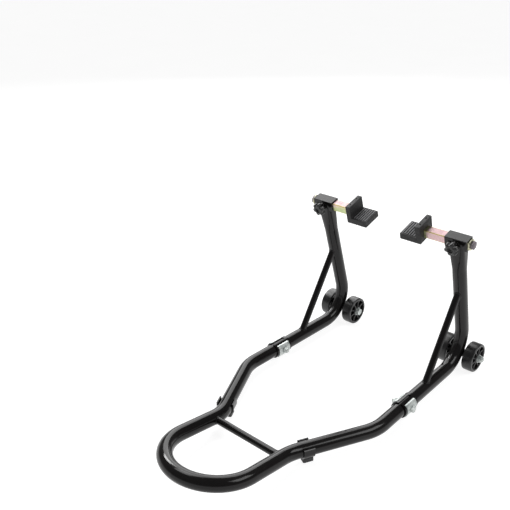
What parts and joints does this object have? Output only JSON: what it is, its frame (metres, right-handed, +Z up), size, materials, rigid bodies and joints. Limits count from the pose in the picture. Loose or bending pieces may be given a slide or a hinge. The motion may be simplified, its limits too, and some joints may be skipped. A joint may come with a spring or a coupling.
{
  "type": "paddock stand",
  "caption": "Rear motorcycle paddock stand: bent-tube frame with foot loop, wheels behind the uprights and sliding L-shaped rubber swing-arm rests clamped by star knobs.",
  "frame": {"origin": "on the floor, at the middle of the bounding box", "axes": "+Z up, +Y from the handle loop to the wheels, +X across the stand to its right-hand side seen from the handle"},
  "size_m": [0.4688, 0.783, 0.3799],
  "materials": {
    "black_paint": "gloss black powder coat",
    "bright_zinc": "bright zinc plate",
    "yellow_zinc": "iridescent yellow zinc plate",
    "wheel_plastic": "semi-gloss moulded black",
    "knob_plastic": "satin moulded black",
    "pad_rubber": "matte black",
    "foot_rubber": "matte black"
  },
  "bodies": {
    "frame": {"handle_tube": "black_paint", "handle_crossbar": "black_paint", "left_side_tube": "black_paint", "left_brace": "black_paint", "left_receiver": "black_paint", "left_knob_boss": "black_paint", "left_axle_sleeve": "black_paint", "left_foot_strap": "black_paint", "left_foot_sole": "foot_rubber", "left_joint_sleeve": "black_paint", "left_joint_saddles": "bright_zinc", "left_joint_bolt": "bright_zinc", "left_joint_nut": "bright_zinc", "left_axle_bolt": "bright_zinc", "left_axle_nut": "bright_zinc", "left_axle_washers": "bright_zinc", "right_side_tube": "black_paint", "right_brace": "black_paint", "right_receiver": "black_paint", "right_knob_boss": "black_paint", "right_axle_sleeve": "black_paint", "right_foot_strap": "black_paint", "right_foot_sole": "foot_rubber", "right_joint_sleeve": "black_paint", "right_joint_saddles": "bright_zinc", "right_joint_bolt": "bright_zinc", "right_joint_nut": "bright_zinc", "right_axle_bolt": "bright_zinc", "right_axle_nut": "bright_zinc", "right_axle_washers": "bright_zinc"},
    "left_outer_wheel_body": {"left_outer_wheel": "wheel_plastic", "left_outer_wheel_bush": "bright_zinc"},
    "left_inner_wheel_body": {"left_inner_wheel": "wheel_plastic", "left_inner_wheel_bush": "bright_zinc"},
    "left_adapter": {"left_adapter_tube": "yellow_zinc", "left_adapter_bolt": "bright_zinc", "left_adapter_nut": "bright_zinc", "left_adapter_washer": "yellow_zinc", "left_pad_core": "yellow_zinc", "left_pad": "pad_rubber"},
    "left_stud": {"left_knob_stud": "bright_zinc"},
    "left_knob_body": {"left_knob": "knob_plastic"},
    "right_outer_wheel_body": {"right_outer_wheel": "wheel_plastic", "right_outer_wheel_bush": "bright_zinc"},
    "right_inner_wheel_body": {"right_inner_wheel": "wheel_plastic", "right_inner_wheel_bush": "bright_zinc"},
    "right_adapter": {"right_adapter_tube": "yellow_zinc", "right_adapter_bolt": "bright_zinc", "right_adapter_nut": "bright_zinc", "right_adapter_washer": "yellow_zinc", "right_pad_core": "yellow_zinc", "right_pad": "pad_rubber"},
    "right_stud": {"right_knob_stud": "bright_zinc"},
    "right_knob_body": {"right_knob": "knob_plastic"}
  },
  "joints": [
    {"name": "left_outer_wheel_spin", "type": "hinge", "parent": "frame", "child": "left_outer_wheel_body", "pos_m": [-0.2085, 0.35654, 0.035], "axis": [1, 0, 0], "continuous": true},
    {"name": "left_inner_wheel_spin", "type": "hinge", "parent": "frame", "child": "left_inner_wheel_body", "pos_m": [-0.1405, 0.35654, 0.035], "axis": [1, 0, 0], "continuous": true},
    {"name": "left_adapter_slide", "type": "slide", "parent": "frame", "child": "left_adapter", "axis": [-1, 0, 0], "range_m": [-0.0025, 0.05]},
    {"name": "left_stud_travel", "type": "slide", "parent": "frame", "child": "left_stud", "axis": [0, -0.9563, -0.2924], "range_m": [0, 0.0061]},
    {"name": "left_knob_turn", "type": "hinge", "parent": "left_stud", "child": "left_knob_body", "pos_m": [-0.1745, 0.2449, 0.33957], "axis": [0, -0.9563, -0.2924], "range_deg": [0, 1440]},
    {"name": "right_outer_wheel_spin", "type": "hinge", "parent": "frame", "child": "right_outer_wheel_body", "pos_m": [0.2085, 0.35654, 0.035], "axis": [1, 0, 0], "continuous": true},
    {"name": "right_inner_wheel_spin", "type": "hinge", "parent": "frame", "child": "right_inner_wheel_body", "pos_m": [0.1405, 0.35654, 0.035], "axis": [1, 0, 0], "continuous": true},
    {"name": "right_adapter_slide", "type": "slide", "parent": "frame", "child": "right_adapter", "axis": [1, 0, 0], "range_m": [-0.0025, 0.05]},
    {"name": "right_stud_travel", "type": "slide", "parent": "frame", "child": "right_stud", "axis": [0, -0.9563, -0.2924], "range_m": [0, 0.0061]},
    {"name": "right_knob_turn", "type": "hinge", "parent": "right_stud", "child": "right_knob_body", "pos_m": [0.1745, 0.2449, 0.33957], "axis": [0, -0.9563, -0.2924], "range_deg": [0, 1440]}
  ],
  "couplings": [
    {"joint": "left_stud_travel", "follows": "left_knob_turn", "m_per_rad": 0.00023873},
    {"joint": "right_stud_travel", "follows": "right_knob_turn", "m_per_rad": 0.00023873}
  ]
}
